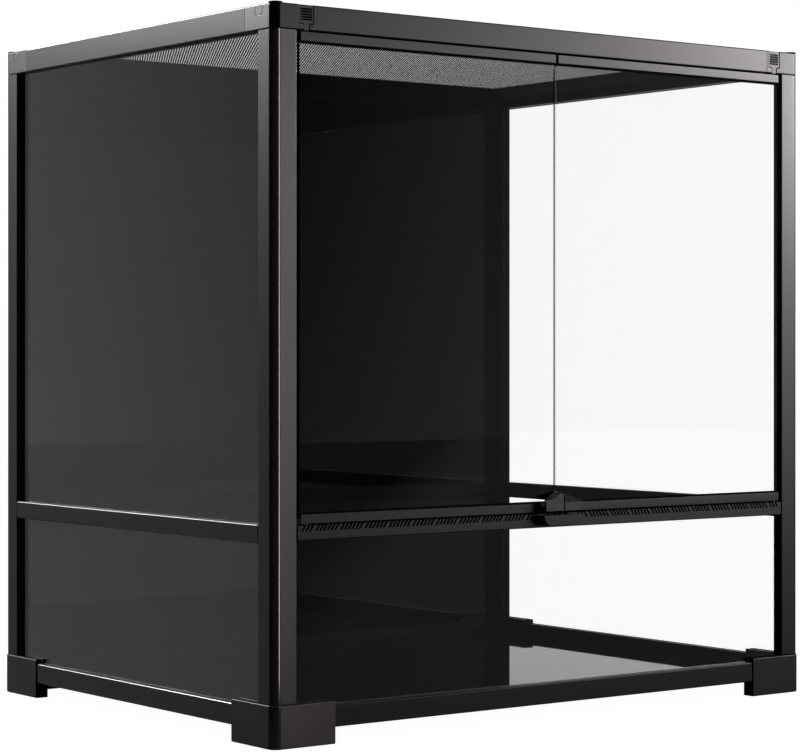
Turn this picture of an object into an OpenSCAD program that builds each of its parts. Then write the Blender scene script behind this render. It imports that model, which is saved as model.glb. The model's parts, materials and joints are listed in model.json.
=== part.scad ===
// Front-opening terrarium cabinet: a knock-down frame of posts, bars and corner
// connectors with glass panes in its grooves, a pair of glass doors that turn on
// pins, a vented rail below them and a lift-off mesh lid.
// Millimetres. X runs to the right, Y to the back, Z up; the floor is Z = 0.

/* [Cabinet] */
// Width across the corner posts
cabinet_width = 612; // [450:1:900]
// Depth across the corner posts
cabinet_depth = 461; // [350:1:600]
// Height from the ground to the top rim
cabinet_height = 616; // [480:1:900]

/* [Frame] */
// Width of each face of a corner post
post_face = 23.5; // [20:0.5:26]
// Thickness of every post, bar and rail, inwards from its outer face
frame_wall = 12; // [11.5:0.5:15]
// Flange in front of the edge of a pane
flange_wall = 4.4; // [3.5:0.1:5]
// Radius of the upright outer corners
corner_round = 7; // [2:0.5:8]
// Bevel along the outer edges of bars and rails
edge_bevel = 0.8; // [0.3:0.1:1.5]
// Width of the square channel inside a post
post_channel = 6; // [5:0.5:7]
// Outer face of a post to its channel
post_channel_wall = 3; // [2:0.5:4]
// Length of the tenons that plug into posts and bars
tenon_length = 20; // [10:1:30]
// Clearance round a tenon
tenon_gap = 0.15; // [0.1:0.05:0.3]

/* [Glass] */
// Thickness of every pane
glass_thickness = 4; // [3:0.5:5]
// Depth by which a pane's edge sits in its groove
glass_seat = 5; // [3:0.5:6]
// Clearance between a pane and its groove
glass_gap = 0.3; // [0.1:0.05:0.5]
// Width of the tongue that holds a glazing bead in its post
bead_tongue_width = 1.2; // [0.8:0.1:1.5]
// Depth of that tongue
bead_tongue_depth = 1; // [0.5:0.1:1.5]
// Clearance round that tongue
bead_tongue_gap = 0.05; // [0.02:0.01:0.1]

/* [Feet and floor] */
// Length of each leg of an L-shaped foot
foot_leg = 62; // [45:1:90]
// Height of a foot
foot_height = 36.5; // [34:0.5:50]
// How far a foot stands out past the post
foot_proud = 1; // [0.5:0.5:3]
// Ground to the underside of the bottom bars
bottom_bar_low = 14; // [8:0.5:15.5]
// Height of the bottom bars
bottom_bar_height = 18.5; // [17.5:0.5:24]
// Ground to the underside of the floor panel
floor_low = 17; // [16.5:0.5:18]
// Thickness of the floor panel
floor_thickness = 4; // [3:0.5:5]
// Depth by which the floor panel sits in the bars
floor_seat = 5; // [3:0.5:5]
// Height of the tenon between foot and bottom bar
bar_tenon_height = 4.4; // [3:0.2:5]
// Width of the tenon between a connector and a bar
bar_tenon_width = 5; // [4:0.5:6]

/* [Middle rails] */
// Ground to the top of the side and rear middle rails
mid_rail_top = 184.6; // [150:0.1:260]
// Height of the side and rear middle rails
mid_rail_height = 16.1; // [14:0.1:22]
// Gap between a middle rail and the posts
mid_rail_gap = 0.2; // [0.1:0.1:1]
// Ground to the top of the front vent rail
vent_rail_top = 184.4; // [150:0.1:260]
// Height of the front vent rail
vent_rail_height = 13; // [12:0.1:20]
// Gap between the vent rail and the posts
vent_rail_gap = 0.9; // [0.3:0.1:2]

/* [Vent slots] */
// Height of a slot
slot_height = 5.6; // [3:0.1:6]
// Width of a slot, along the rail
slot_width = 2.2; // [1:0.1:2.4]
// How far a slot leans over its height
slot_lean = 3.9; // [0:0.1:5]
// Depth of a slot, through the rail's front wall
slot_depth = 1.5; // [1:0.1:1.8]
// Spacing of the slots in a group
slot_pitch = 3.85; // [3:0.05:5]
// Slots in a full group
slots_in_group = 6; // [4:1:6]
// Slots in the short group at each end of a run
slots_in_short_group = 3; // [1:1:3]
// Spacing of the groups
group_pitch = 25.3; // [24:0.1:40]
// Post to the first slot of the short group by the post
short_group_start = 4; // [2:0.5:6]
// Post to the first full group
full_group_start = 18.2; // [16:0.1:25]
// Width of the air channel behind the slots
air_channel_width = 5; // [3:0.5:6]
// Height of the air channel behind the slots
air_channel_height = 3.9; // [2:0.1:5]

/* [Top frame] */
// Height of the top bars and corner connectors
top_height = 21.5; // [20:0.5:30]
// Length of each leg of a top corner connector
top_leg = 43; // [42:0.5:70]
// Width of the ledge that carries the lid
ledge_width = 5; // [3:0.5:8]
// Height of the tenon between a top corner and a top bar
top_tenon_height = 6; // [4:0.5:6]
// Outer face to the middle of that tenon
top_tenon_inset = 7.5; // [6:0.5:8]
// Rim to the middle of that tenon
top_tenon_drop = 6.5; // [5:0.5:7]
// Thickness of the lips that the doors close against
stop_lip_wall = 3.5; // [2:0.1:3.7]
// How far the lips reach behind the doors
stop_lip_reach = 8; // [5:0.5:12]
// Depth of the upper lip's strip in the top bar
door_stop_seat = 3; // [2:0.5:5]

/* [Snap plugs] */
// Width of a plug
plug_width = 10; // [6:0.5:12]
// Height of a plug
plug_height = 7; // [5:0.5:8]
// Depth of a plug into its connector
plug_depth = 3; // [2:0.5:4]
// Corner of the cabinet to the near edge of a plug
plug_inset = 17; // [14:0.5:20]
// Rim to the top of a plug
plug_drop = 2; // [1.5:0.5:4]
// Radius of a plug's lower corners
plug_round = 2.5; // [1:0.5:3]
// Clearance at the sides and under a plug
plug_gap = 0.4; // [0.2:0.1:0.8]

/* [Corner caps] */
// Radius of the round cap on each top corner
cap_r = 5.8; // [4.5:0.1:5.8]
// How far a cap stands up over the rim
cap_proud = 1; // [0.5:0.1:2]
// Radius of the stem of a cap
cap_stem_r = 3; // [2:0.1:3.5]
// Depth of the stem in its connector
cap_seat = 4; // [2:0.5:6]
// Clearance round the stem
cap_gap = 0.1; // [0.05:0.05:0.2]

/* [Doors] */
// Gap between a post and the end of a door
door_side_gap = 3.9; // [3:0.1:6]
// Gap between the rails of the two doors
door_rail_split = 2.9; // [2:0.1:5]
// Gap between the glass of the two doors
door_glass_split = 1.4; // [1:0.1:3]
// Gap between the vent rail and the doors
door_low_gap = 0.9; // [0.7:0.1:2]
// Gap between the doors and the top frame
door_high_gap = 1.1; // [0.6:0.1:2]
// Height of a door rail
door_rail_height = 7.6; // [7:0.1:12]
// Thickness of a door rail, front to back
door_rail_wall = 8; // [7.8:0.1:8]
// Solid part of a door rail beyond the glass
door_rail_web = 3.7; // [3.6:0.1:4.5]
// Thickness of the gasket round the edge of the door glass
gasket_wall = 0.8; // [0.5:0.1:0.9]
// How far the gasket shows past the door rail
gasket_proud = 1.7; // [0.5:0.1:3.5]
// Clearance between a closed door and the stop lips
door_stop_gap = 0.5; // [0.3:0.1:1]

/* [Hinge pins] */
// Radius of the hinge pins
hinge_pin_r = 2; // [1.5:0.1:2.2]
// Radial clearance of a hinge pin in its door rail
hinge_pin_gap = 0.06; // [0.02:0.01:0.1]
// End of a door to its hinge axis
hinge_inset = 5.8; // [5.5:0.1:9]
// Front face to the hinge axis
hinge_depth = 4; // [3.8:0.1:4.2]
// How far a hinge pin reaches into its door rail
hinge_pin_reach = 3; // [2:0.1:3.2]
// Depth of the lower hinge pin in the vent rail
hinge_pin_root = 6; // [4:0.5:8]
// Radius of the collar that carries the door
hinge_collar_r = 3.5; // [2.8:0.1:3.7]
// Play above the collar, and past the end of a pin
hinge_end_gap = 0.15; // [0.1:0.05:0.3]

/* [Door release sliders] */
// Width of the head of a slider
slider_width = 14.2; // [12:0.1:16]
// Height of the head of a slider
slider_height = 15.6; // [12:0.1:15.7]
// Thickness of a slider
slider_depth = 6.4; // [6:0.1:6.6]
// Width of the neck of a slider
slider_neck = 6; // [5:0.1:8]
// Height of the neck of a slider
slider_neck_height = 5.6; // [5:0.1:6]
// Clearance round a slider
slider_gap = 0.3; // [0.2:0.05:0.4]
// Grip grooves across the head
slider_grooves = 5; // [3:1:5]
// Spacing of the grip grooves
slider_groove_pitch = 2.2; // [1.6:0.1:2.4]
// Height of a grip groove
slider_groove_height = 1.2; // [0.5:0.1:1.4]
// Depth of a grip groove
slider_groove_depth = 1.2; // [0.3:0.1:1.4]
// Side of the head to the ends of the grip grooves
slider_groove_margin = 1.5; // [0.5:0.1:3]
// Width of the key that holds a slider to its connector
slider_key_width = 7; // [6:0.5:9]
// Width of the neck of that key
slider_key_neck = 3; // [2:0.5:4]
// Thickness of the head of that key
slider_key_wall = 1.6; // [1:0.1:1.8]
// Length of the neck of that key, front to back
slider_key_reach = 1.4; // [1.2:0.1:1.6]

/* [Latch] */
// Half the width of the latch
latch_half = 21; // [15:0.5:30]
// How far the handles and the keeper stand out from the rails
handle_proud = 10; // [8:0.5:14]
// Height of a handle at its outer end
handle_end_height = 10; // [9:0.1:12]
// Height of a handle at the split between the doors
handle_peak_height = 15.6; // [13:0.1:20]
// Gap between the two handles
handle_split = 1.6; // [0.6:0.1:3]
// Thickness of the front plate of a handle
handle_plate = 2.8; // [2:0.1:3.5]
// Height of the floor of the finger groove
handle_groove_floor = 5; // [3:0.1:6]
// Height of the lip behind the finger groove, at the split
handle_lip_height = 17.7; // [15:0.1:22]
// Thickness of that lip in front of the rail
handle_lip_wall = 1.8; // [1.2:0.1:2.5]
// How far that lip reaches over the top of the rail
handle_lip_over = 0.9; // [0.5:0.1:0.9]
// Chamfer along the lower front edge of a handle
handle_chamfer = 1.2; // [0.5:0.1:2]
// How far the keeper reaches past the handles at each end
keeper_over = 2.4; // [0:0.1:2.6]
// Height of the keeper
keeper_height = 8.9; // [7:0.1:9]
// Top of the vent rail to the top of the keeper
keeper_drop = 1.9; // [1.5:0.1:2.5]
// Radius of the pegs that hold the keeper
keeper_peg_r = 1.1; // [0.8:0.1:1.2]
// Length of those pegs
keeper_peg_length = 3.6; // [2:0.1:4]
// Middle of the latch to each peg
keeper_peg_offset = 13; // [11:0.5:14]
// Half the width of the snap clip in the keeper
clip_half = 7; // [5:0.5:9]
// Width of the clip, front to back
clip_width = 4; // [3:0.5:5]
// Thickness of the clip's leaf
clip_leaf = 0.7; // [0.4:0.1:1]
// Depth of the clip's pocket in the keeper
clip_pocket_depth = 5.5; // [4:0.5:6]
// Clearance under the handles and round the clip
clip_gap = 0.3; // [0.2:0.1:0.5]

/* [Lid] */
// Height of the lid
lid_height = 12; // [10:0.5:13]
// Width of the bars round the lid
lid_bar = 18; // [14:0.5:26]
// Clearance between the lid and the top frame
lid_gap = 1; // [0.5:0.1:2]
// Play between the lid and its ledge
lid_rest_gap = 0.1; // [0.1:0.1:0.3]
// Thickness of the mesh sheet
mesh_thickness = 0.8; // [0.5:0.1:1.2]
// Width by which the mesh lies on the bars
mesh_seat = 7; // [5:0.5:10]
// Spacing of the openings in the mesh
mesh_pitch = 29.5; // [28:0.5:60]
// Width of the web between two openings
mesh_web = 3; // [2:0.5:5]
// Width of the bead that holds the mesh down
bead_width = 4; // [3:0.5:5]
// Thickness of that bead
bead_thickness = 1; // [0.6:0.1:2]

/* [Hidden] */
$fn = 64;
eps = 0.01;

frame_colour = "#4a4547";
connector_colour = "#413d3f";
trim_colour = "#1c1b1c";
pin_colour = "#b4b6b8";
mesh_colour = "#2b2a2b";
black_glass_colour = "#151516";
clear_glass_colour = [0.86, 0.9, 0.9, 0.3];

// Heights
bottom_bar_high = bottom_bar_low + bottom_bar_height;
floor_high = floor_low + floor_thickness;
top_low = cabinet_height - top_height;
ledge_high = cabinet_height - lid_height;
mid_rail_low = mid_rail_top - mid_rail_height;
vent_rail_low = vent_rail_top - vent_rail_height;

// Panes: depth behind the outer face, and heights
pane_front = flange_wall + glass_gap;
pane_back = pane_front + glass_thickness;
pane_inset = post_face - glass_seat;
lower_pane_low = bottom_bar_high - glass_seat;
lower_pane_high = mid_rail_low + glass_seat;
front_pane_high = vent_rail_low + glass_seat;
upper_pane_low = mid_rail_top - glass_seat;
upper_pane_high = top_low + glass_seat;
floor_inset = frame_wall - floor_seat;
bar_tenon_level = (floor_high + lower_pane_low) / 2;

// Doors, measured from the outer face of the near post
door_start = post_face + door_side_gap;
door_low = vent_rail_top + door_low_gap;
door_high = top_low - door_high_gap;
door_rail_length = cabinet_width / 2 - door_start - door_rail_split / 2;
door_glass_length = cabinet_width / 2 - door_start - door_glass_split / 2;
door_glass_front = (door_rail_wall - glass_thickness) / 2;
gasket_low = door_low + door_rail_web;
gasket_high = door_high - door_rail_web;
door_glass_low = gasket_low + gasket_wall;
door_glass_high = gasket_high - gasket_wall;
hinge_x = door_start + hinge_inset;
hinge_bore_depth = hinge_pin_reach + hinge_end_gap;
stop_lip_front = door_rail_wall + door_stop_gap;
door_stub_swing = norm([hinge_inset, max(hinge_depth, door_rail_wall - hinge_depth)]);
stop_lip_start = max(top_leg, hinge_x + door_stub_swing + door_stop_gap);

// Latch
keeper_high = vent_rail_top - keeper_drop;
keeper_low = keeper_high - keeper_height;
keeper_peg_level = (front_pane_high + vent_rail_top - air_channel_height) / 2 + glass_gap / 2;
handle_middle = -(handle_proud - handle_plate + handle_lip_wall) / 2;

// Lid
lid_inset = frame_wall + lid_gap;
mesh_low = cabinet_height - bead_thickness - mesh_thickness;
mesh_edge = lid_inset + lid_bar - mesh_seat + glass_gap;
mesh_opening = [cabinet_width, cabinet_depth] - 2 * (lid_inset + lid_bar) * [1, 1];
mesh_row = mesh_pitch * sin(60);
mesh_gap_r = (mesh_pitch - mesh_web) / 2 / cos(30);
mesh_columns = floor((mesh_opening[0] - mesh_web) / mesh_pitch);
mesh_rows = 1 + floor((mesh_opening[1] - 2 * mesh_web - 2 * mesh_gap_r) / mesh_row);

// Centres the whole object, handles and feet included, on the Y axis
module place() translate([0, (handle_proud - foot_proud) / 2, 0]) children();

// Takes a piece drawn at the front left corner, inwards along +X and +Y, to a corner
module at_corner(side_x, side_y)
    translate([side_x * cabinet_width / 2, side_y * cabinet_depth / 2, 0])
        mirror([side_x > 0 ? 1 : 0, 0, 0])
            mirror([0, side_y > 0 ? 1 : 0, 0])
                children();

// Takes a piece drawn along X, with its outer face at Y = 0, to a side of the cabinet
module on_side(side) {
    if (side == "front")
        translate([0, -cabinet_depth / 2, 0]) children();
    if (side == "rear")
        translate([0, cabinet_depth / 2, 0]) mirror([0, 1, 0]) children();
    if (side == "left")
        translate([-cabinet_width / 2, 0, 0]) mirror([1, -1, 0]) children();
    if (side == "right")
        translate([cabinet_width / 2, 0, 0]) mirror([1, 0, 0]) mirror([1, -1, 0]) children();
}

function side_run(side) = side == "front" || side == "rear" ? cabinet_width : cabinet_depth;

// Repeats a piece drawn along X on the other arm of a corner
module both_arms() {
    children();
    mirror([1, -1, 0]) children();
}

// Box from its low corner to its high corner
module block(low, high) translate(low) cube(high - low);

// Section of a bar, outer edges bevelled: width goes inwards, height goes up
module bar_section(wall, height, bevel)
    polygon([
        [bevel, 0], [wall, 0], [wall, height], [bevel, height],
        [0, height - bevel], [0, bevel]
    ]);

// Bar along X from start to finish, standing on low
module bar(start, finish, low, wall, height, bevel = edge_bevel)
    translate([start, 0, low])
        rotate([90, 0, 90])
            linear_extrude(finish - start)
                bar_section(wall, height, bevel);

// L-shaped corner piece with a rounded, bevelled outer corner
module corner_piece(leg, wall, low, height, radius, bevel = edge_bevel) {
    both_arms() bar(radius, leg, low, wall, height, bevel);
    intersection() {
        translate([radius, radius, low])
            rotate_extrude()
                polygon([
                    [0, 0], [radius - bevel, 0], [radius, bevel],
                    [radius, height - bevel], [radius - bevel, height], [0, height]
                ]);
        block([0, 0, low], [wall, wall, low + height]);
    }
}

// A pane in its place; grow makes it the cutter of its own grooves
module pane(side, low, high, grow = 0) {
    half = side_run(side) / 2 - pane_inset;
    on_side(side)
        block([-half - grow, pane_front - grow, low - grow], [half + grow, pane_back + grow, high + grow]);
}

module pane_front_lower(grow = 0) pane("front", lower_pane_low, front_pane_high, grow);
module pane_lower(side, grow = 0) pane(side, lower_pane_low, lower_pane_high, grow);
module pane_upper(side, grow = 0) pane(side, upper_pane_low, upper_pane_high, grow);

module floor_sheet(grow = 0) {
    half_x = cabinet_width / 2 - floor_inset + grow;
    half_y = cabinet_depth / 2 - floor_inset + grow;
    block([-half_x, -half_y, floor_low - grow], [half_x, half_y, floor_high + grow]);
}

// Cutter for every groove that holds a pane or the floor
module grooves() {
    pane_front_lower(glass_gap);
    floor_sheet(glass_gap);
    for (side = ["left", "right", "rear"]) {
        pane_lower(side, glass_gap);
        pane_upper(side, glass_gap);
    }
}

// Square tenon that fills the channel of a post, from low to high
module post_tenon(low, high, grow = 0) {
    start = post_channel_wall + tenon_gap - grow;
    finish = post_channel_wall + post_channel - tenon_gap + grow;
    block([start, start, low], [finish, finish, high]);
}

// Tenon along X from a connector's end into a bar
module bar_tenon(start, middle, level, height, grow = 0) {
    half_width = bar_tenon_width / 2 - tenon_gap + grow;
    half_height = height / 2 - tenon_gap + grow;
    block(
        [start - eps, middle - half_width, level - half_height],
        [start + tenon_length + (grow > 0 ? tenon_gap : 0), middle + half_width, level + half_height]
    );
}

module foot_tenon(grow = 0)
    bar_tenon(foot_leg, frame_wall / 2, bar_tenon_level, bar_tenon_height, grow);

module top_tenon(grow = 0)
    bar_tenon(top_leg, top_tenon_inset, cabinet_height - top_tenon_drop, top_tenon_height, grow);

// Sockets at both ends of a bar of the given run
module end_sockets(run)
    for (end = [0, 1])
        mirror([end, 0, 0])
            translate([-run / 2, 0, 0])
                children();

module foot(side_x, side_y)
    color(connector_colour)
        place()
            difference() {
                at_corner(side_x, side_y) {
                    translate([-foot_proud, -foot_proud, 0])
                        corner_piece(
                            foot_leg + foot_proud, frame_wall + foot_proud,
                            0, foot_height, corner_round + foot_proud
                        );
                    post_tenon(foot_height - eps, foot_height + tenon_length);
                    both_arms() foot_tenon();
                }
                grooves();
            }

module bottom_bar(side) {
    run = side_run(side);
    half = run / 2 - foot_leg;
    color(frame_colour)
        place()
            difference() {
                on_side(side)
                    difference() {
                        bar(-half, half, bottom_bar_low, frame_wall, bottom_bar_height);
                        end_sockets(run) foot_tenon(tenon_gap);
                    }
                grooves();
            }
}

// Section of a glazing bead on the arm along X: it closes the groove behind the pane
module bead_section(grow = 0) {
    tongue_half = bead_tongue_width / 2 + grow;
    translate([frame_wall, pane_back + glass_gap])
        square([post_face - frame_wall, frame_wall - pane_back - glass_gap]);
    translate([(frame_wall + pane_inset - glass_gap) / 2, pane_back + glass_gap])
        translate([-tongue_half, -bead_tongue_depth - grow])
            square([2 * tongue_half, bead_tongue_depth + grow + eps]);
}

// Section of a post: an L with a rounded corner, a rebate for a pane in each arm and a channel
module post_section() {
    shoulder = pane_inset - glass_gap;
    rebate = pane_back + glass_gap;
    difference() {
        union() {
            intersection() {
                translate([corner_round, corner_round]) circle(corner_round);
                square(frame_wall);
            }
            polygon([
                [corner_round, 0], [post_face - edge_bevel, 0], [post_face, edge_bevel],
                [post_face, flange_wall], [shoulder, flange_wall], [shoulder, rebate],
                [frame_wall, rebate], [frame_wall, frame_wall], [rebate, frame_wall],
                [rebate, shoulder], [flange_wall, shoulder], [flange_wall, post_face],
                [edge_bevel, post_face], [0, post_face - edge_bevel], [0, corner_round]
            ]);
        }
        translate([post_channel_wall, post_channel_wall]) square(post_channel);
        both_arms() bead_section(bead_tongue_gap);
    }
}

module post(side_x, side_y)
    color(frame_colour)
        place()
            at_corner(side_x, side_y)
                translate([0, 0, foot_height])
                    linear_extrude(top_low - foot_height)
                        post_section();

// Two beads in each post, put in from the inside once the panes are in place
module glazing_beads()
    color(connector_colour)
        place()
            for (side_x = [-1, 1], side_y = [-1, 1])
                at_corner(side_x, side_y)
                    translate([0, 0, foot_height])
                        both_arms()
                            linear_extrude(top_low - foot_height)
                                bead_section();

// Snap plug on the side face of a top corner, with rounded lower corners
module snap_plug(grow = 0) {
    high = cabinet_height - plug_drop;
    round_y = plug_width / 2 - plug_round;
    translate([0, plug_inset + plug_width / 2, high - plug_height])
        rotate([90, 0, 90])
            translate([0, 0, grow > 0 ? -1 : 0])
                linear_extrude(plug_depth + (grow > 0 ? 1 : 0)) {
                    for (side = [-1, 1])
                        translate([side * round_y, plug_round]) circle(plug_round + grow);
                    translate([-round_y, -grow]) square([2 * round_y, plug_height + grow]);
                    translate([-plug_width / 2 - grow, plug_round])
                        square([plug_width + 2 * grow, plug_height - plug_round]);
                }
}

// Outline of a release slider seen from the front: a head on a neck
module slider_front(grow = 0, up = 0) {
    head_low = top_low + slider_neck_height;
    translate([hinge_x - slider_width / 2 - grow, head_low - grow])
        square([slider_width + 2 * grow, slider_height + grow + up]);
    translate([hinge_x - slider_neck / 2 - grow, top_low - (grow > 0 ? 1 : 0)])
        square([slider_neck + 2 * grow, slider_neck_height + 1]);
}

// T-shaped key on the back of a slider, that slides in its connector
module slider_key(grow = 0, up = 0) {
    head_low = top_low + slider_neck_height;
    height = slider_height - slider_groove_pitch + up;
    neck = slider_key_neck / 2 + grow;
    half = slider_key_width / 2 + grow;
    head = slider_depth + slider_key_reach;
    block(
        [hinge_x - neck, slider_depth - eps, head_low - grow],
        [hinge_x + neck, head + eps, head_low + height]
    );
    block(
        [hinge_x - half, head - grow, head_low - grow],
        [hinge_x + half, head + slider_key_wall + grow, head_low + height]
    );
}

// Cutter for a slider's track, open at the front and at the top
module slider_track() {
    translate([0, slider_depth + slider_gap, 0])
        rotate([90, 0, 0])
            linear_extrude(slider_depth + slider_gap + 1)
                slider_front(slider_gap, top_height);
    slider_key(slider_gap, top_height);
}

module top_corner(side_x, side_y)
    color(connector_colour)
        place()
            difference() {
                at_corner(side_x, side_y)
                    difference() {
                        union() {
                            corner_piece(top_leg, frame_wall, top_low, top_height, corner_round);
                            both_arms()
                                block(
                                    [frame_wall - eps, frame_wall - eps, top_low],
                                    [top_leg, frame_wall + ledge_width, ledge_high]
                                );
                            post_tenon(top_low - tenon_length, top_low + eps);
                            both_arms() top_tenon();
                        }
                        snap_plug(plug_gap);
                        cap_stem(cap_gap);
                        if (side_y < 0)
                            slider_track();
                    }
                grooves();
            }

// Strip with the upper lip, its top edge in a slot of the front top bar
module stop_strip(grow = 0) {
    half = cabinet_width / 2 - stop_lip_start;
    block(
        [-half - grow, stop_lip_front - grow, top_low - stop_lip_reach],
        [half + grow, stop_lip_front + stop_lip_wall + grow, top_low + door_stop_seat]
    );
}

module door_stop() color(connector_colour) place() on_side("front") stop_strip();

module top_bar(side) {
    run = side_run(side);
    half = run / 2 - top_leg;
    color(frame_colour)
        place()
            difference() {
                on_side(side)
                    difference() {
                        union() {
                            bar(-half, half, top_low, frame_wall, top_height);
                            block(
                                [-half, frame_wall - eps, top_low],
                                [half, frame_wall + ledge_width, ledge_high]
                            );
                        }
                        end_sockets(run) top_tenon(tenon_gap);
                        if (side == "front")
                            stop_strip(tenon_gap);
                    }
                grooves();
            }
}

// Stem of a corner cap, or with grow the hole that it sits in
module cap_stem(grow = 0)
    translate([frame_wall / 2, frame_wall / 2, cabinet_height - cap_seat - grow])
        cylinder(r = cap_stem_r + grow, h = cap_seat + grow + eps);

// Round caps on the rim, one at each corner
module corner_caps()
    color(trim_colour)
        place()
            for (side_x = [-1, 1], side_y = [-1, 1])
                at_corner(side_x, side_y) {
                    cap_stem();
                    translate([frame_wall / 2, frame_wall / 2, cabinet_height])
                        cylinder(r = cap_r, h = cap_proud);
                }

module corner_snap_plugs()
    color(connector_colour)
        place()
            for (side_x = [-1, 1], side_y = [-1, 1])
                at_corner(side_x, side_y) snap_plug();

// Tongues that hold a rail in the grooves of its two posts
module rail_tongues(run, gap, low, high)
    for (end = [0, 1])
        mirror([end, 0, 0])
            block(
                [-run / 2 + pane_inset, pane_front, low],
                [-run / 2 + post_face + gap + eps, pane_back, high]
            );

module mid_rail(side) {
    run = side_run(side);
    half = run / 2 - post_face - mid_rail_gap;
    color(frame_colour)
        place()
            difference() {
                on_side(side) {
                    bar(-half, half, mid_rail_low, frame_wall, mid_rail_height);
                    rail_tongues(run, mid_rail_gap, mid_rail_low, mid_rail_top);
                }
                grooves();
            }
}

// One leaning vent slot, cut from the front, its foot at the given place
module vent_slot(start)
    translate([start, slot_depth, vent_rail_top - slot_height])
        rotate([90, 0, 0])
            linear_extrude(slot_depth + 1)
                polygon([
                    [0, 0], [slot_width, 0],
                    [slot_width + slot_lean, slot_height + eps], [slot_lean, slot_height + eps]
                ]);

// Vent slots of the left half of the rail: full groups with a short one at each end
module vent_slots() {
    group_length = (slots_in_group - 1) * slot_pitch + slot_width + slot_lean;
    short_length = (slots_in_short_group - 1) * slot_pitch + slot_width + slot_lean;
    first = -cabinet_width / 2 + post_face;
    groups = floor((-latch_half - first - full_group_start - short_length) / group_pitch);
    last_short = first + full_group_start + groups * group_pitch;
    for (index = [0:slots_in_short_group - 1]) {
        vent_slot(first + short_group_start + index * slot_pitch);
        vent_slot(last_short + index * slot_pitch);
    }
    for (group = [0:groups - 1], index = [0:slots_in_group - 1])
        vent_slot(first + full_group_start + group * group_pitch + index * slot_pitch);
}

// Pegs of the keeper, or with grow the holes that they sit in
module keeper_pegs(grow = 0)
    for (side = [-1, 1])
        translate([side * keeper_peg_offset, -eps - grow, keeper_peg_level])
            rotate([-90, 0, 0])
                cylinder(r = keeper_peg_r + grow, h = keeper_peg_length + eps + 2 * grow);

module vent_rail() {
    half = cabinet_width / 2 - post_face - vent_rail_gap;
    channel_half = cabinet_width / 2 - stop_lip_start;
    channel_back = slot_depth + air_channel_width;
    color(frame_colour)
        place()
            difference() {
                on_side("front")
                    difference() {
                        union() {
                            bar(-half, half, vent_rail_low, frame_wall, vent_rail_height);
                            rail_tongues(cabinet_width, vent_rail_gap, vent_rail_low, vent_rail_top);
                            block(
                                [-channel_half, stop_lip_front, vent_rail_top - eps],
                                [
                                    channel_half, stop_lip_front + stop_lip_wall,
                                    vent_rail_top + stop_lip_reach
                                ]
                            );
                        }
                        vent_slots();
                        mirror([1, 0, 0]) vent_slots();
                        block(
                            [-channel_half, slot_depth - eps, vent_rail_top - air_channel_height],
                            [channel_half, channel_back, vent_rail_top + eps]
                        );
                        keeper_pegs(tenon_gap);
                    }
                grooves();
                for (side_x = [-1, 1])
                    at_corner(side_x, -1)
                        translate([hinge_x, hinge_depth, vent_rail_top - hinge_pin_root])
                            cylinder(r = hinge_pin_r, h = hinge_pin_root + 1);
            }
}

module floor_panel() color(black_glass_colour) place() floor_sheet();
module glass_front_lower() color(clear_glass_colour) place() pane_front_lower();
module glass_lower(side) color(clear_glass_colour) place() pane_lower(side);
module glass_upper(side) color(clear_glass_colour) place() pane_upper(side);
module panel_rear_lower() color(black_glass_colour) place() pane_lower("rear");
module panel_rear_upper() color(black_glass_colour) place() pane_upper("rear");

// Strip that fills the groove of a front post beside the doors
module jamb_strip(side_x)
    color(trim_colour)
        place()
            at_corner(side_x, -1)
                block(
                    [pane_inset, pane_front, vent_rail_top],
                    [post_face - glass_gap, pane_back, top_low - glass_gap]
                );

// Lower hinge pin: its root in the vent rail, a collar under the door, a tip in the door
module hinge_pin(side_x)
    color(pin_colour)
        place()
            at_corner(side_x, -1)
                translate([hinge_x, hinge_depth, 0]) {
                    translate([0, 0, vent_rail_top - hinge_pin_root])
                        cylinder(r = hinge_pin_r, h = hinge_pin_root + door_low_gap + hinge_pin_reach);
                    translate([0, 0, vent_rail_top])
                        cylinder(r = hinge_collar_r, h = door_low_gap - hinge_end_gap);
                }

// Outline of the keeper from the front, its lower corners rounded over its whole height
module keeper_outline() {
    half = latch_half + keeper_over;
    intersection() {
        union() {
            for (side = [-1, 1])
                translate([side * (half - keeper_height), keeper_high])
                    circle(keeper_height);
            translate([-(half - keeper_height), keeper_low])
                square([2 * (half - keeper_height), keeper_height]);
        }
        translate([-half, keeper_low]) square([2 * half, keeper_height]);
    }
}

module clip_pocket(grow = 0)
    block(
        [-clip_half - grow, handle_middle - clip_width / 2 - grow, keeper_high - clip_pocket_depth],
        [clip_half + grow, handle_middle + clip_width / 2 + grow, keeper_high + 1]
    );

module latch_keeper()
    color(trim_colour)
        place()
            on_side("front")
                difference() {
                    union() {
                        rotate([90, 0, 0]) linear_extrude(handle_proud) keeper_outline();
                        keeper_pegs();
                    }
                    clip_pocket(clip_gap);
                }

// Bent leaf in the keeper: a foot on the pocket's floor and two arms towards the handles
module latch_clip()
    color(pin_colour)
        place()
            on_side("front")
                difference() {
                    block(
                        [-clip_half, handle_middle - clip_width / 2, keeper_high - clip_pocket_depth],
                        [clip_half, handle_middle + clip_width / 2, door_low - clip_gap]
                    );
                    block(
                        [-clip_half + clip_leaf, -handle_proud, keeper_high - clip_pocket_depth + clip_leaf],
                        [clip_half - clip_leaf, 0, door_low + 1]
                    );
                }

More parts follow.
